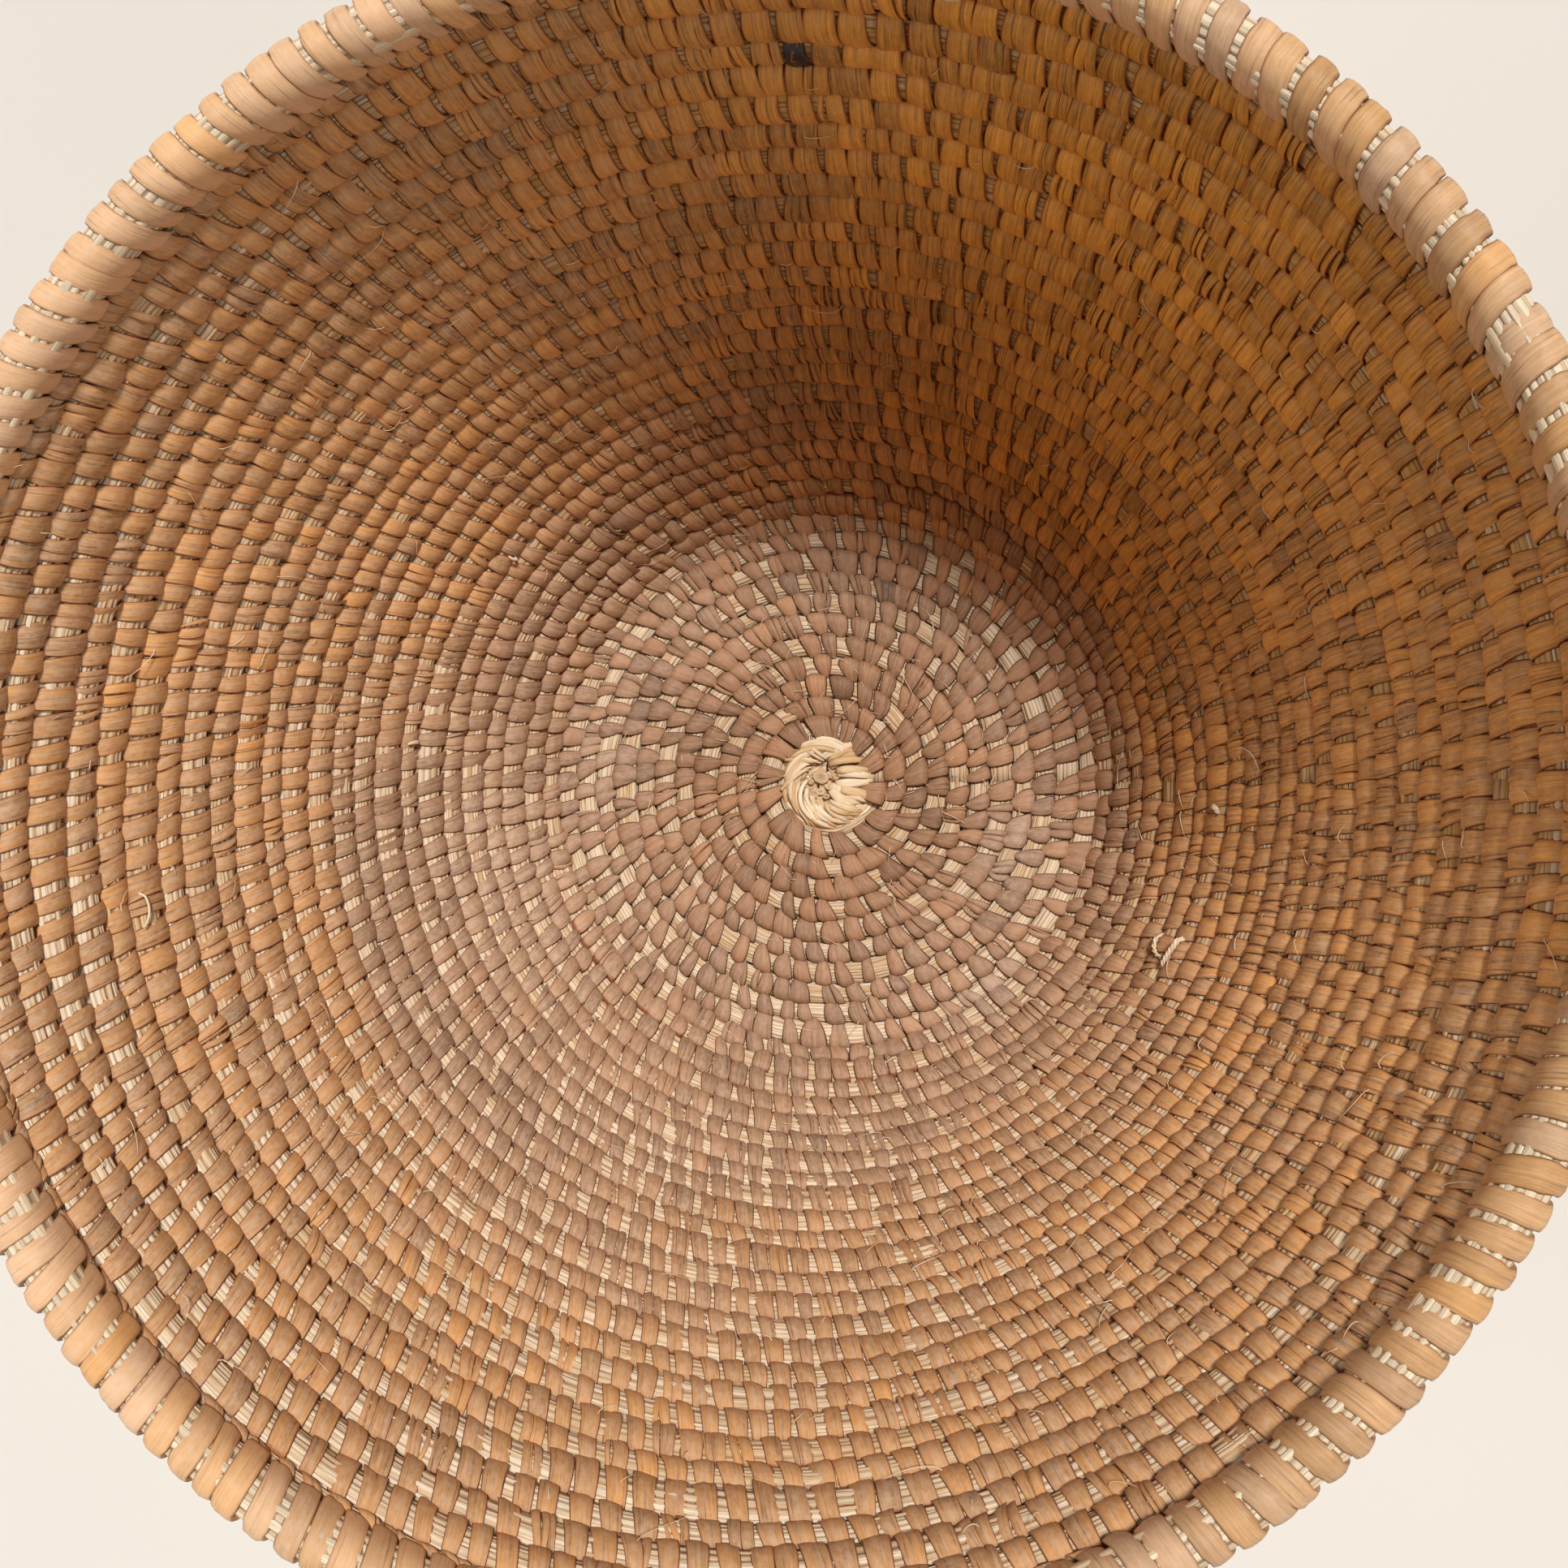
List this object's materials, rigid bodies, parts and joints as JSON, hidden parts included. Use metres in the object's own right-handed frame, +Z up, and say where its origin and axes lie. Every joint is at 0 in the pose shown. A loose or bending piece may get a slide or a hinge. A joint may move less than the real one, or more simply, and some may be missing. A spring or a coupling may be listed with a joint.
{
  "type": "coiled basket",
  "caption": "Round open basket of coiled grass rows sewn with palm-leaf strips: flat base, flared wall and a whipped rim, for holding loose things.",
  "frame": {"origin": "on the table under the middle of the base", "axes": "+Z up along the basket's axis; +X points to where each turn of the coil begins"},
  "size_m": [0.2243, 0.2244, 0.1338],
  "materials": {
    "bare_grass": "dry bare grass strands",
    "base_leaf": "dusty brown palm-leaf stitches over pale grass",
    "wall_leaf": "satin orange-brown palm-leaf stitches over pale grass",
    "rim_grass": "dry grass bundle",
    "rim_leaf": "satin palm-leaf strip wound side by side"
  },
  "bodies": {
    "root": {"start_knot": "bare_grass", "base_coil_01": "base_leaf", "base_coil_02": "base_leaf", "base_coil_03": "base_leaf", "base_coil_04": "base_leaf", "base_coil_05": "base_leaf", "base_coil_06": "base_leaf", "base_coil_07": "base_leaf", "base_coil_08": "base_leaf", "base_coil_09": "base_leaf", "base_coil_10": "base_leaf", "heel_coil": "base_leaf", "wall_coil_01": "wall_leaf", "wall_coil_02": "wall_leaf", "wall_coil_03": "wall_leaf", "wall_coil_04": "wall_leaf", "wall_coil_05": "wall_leaf", "wall_coil_06": "wall_leaf", "wall_coil_07": "wall_leaf", "wall_coil_08": "wall_leaf", "wall_coil_09": "wall_leaf", "wall_coil_10": "wall_leaf", "wall_coil_11": "wall_leaf", "wall_coil_12": "wall_leaf", "wall_coil_13": "wall_leaf", "wall_coil_14": "wall_leaf", "wall_coil_15": "wall_leaf", "wall_coil_16": "wall_leaf", "wall_coil_17": "wall_leaf", "wall_coil_18": "wall_leaf", "wall_coil_19": "wall_leaf", "wall_coil_20": "wall_leaf", "wall_coil_21": "wall_leaf", "wall_coil_22": "wall_leaf", "wall_coil_23": "wall_leaf", "wall_coil_24": "wall_leaf", "wall_coil_tail": "wall_leaf", "rim_coil": "rim_grass", "rim_binding": "rim_leaf"}
  },
  "joints": []
}
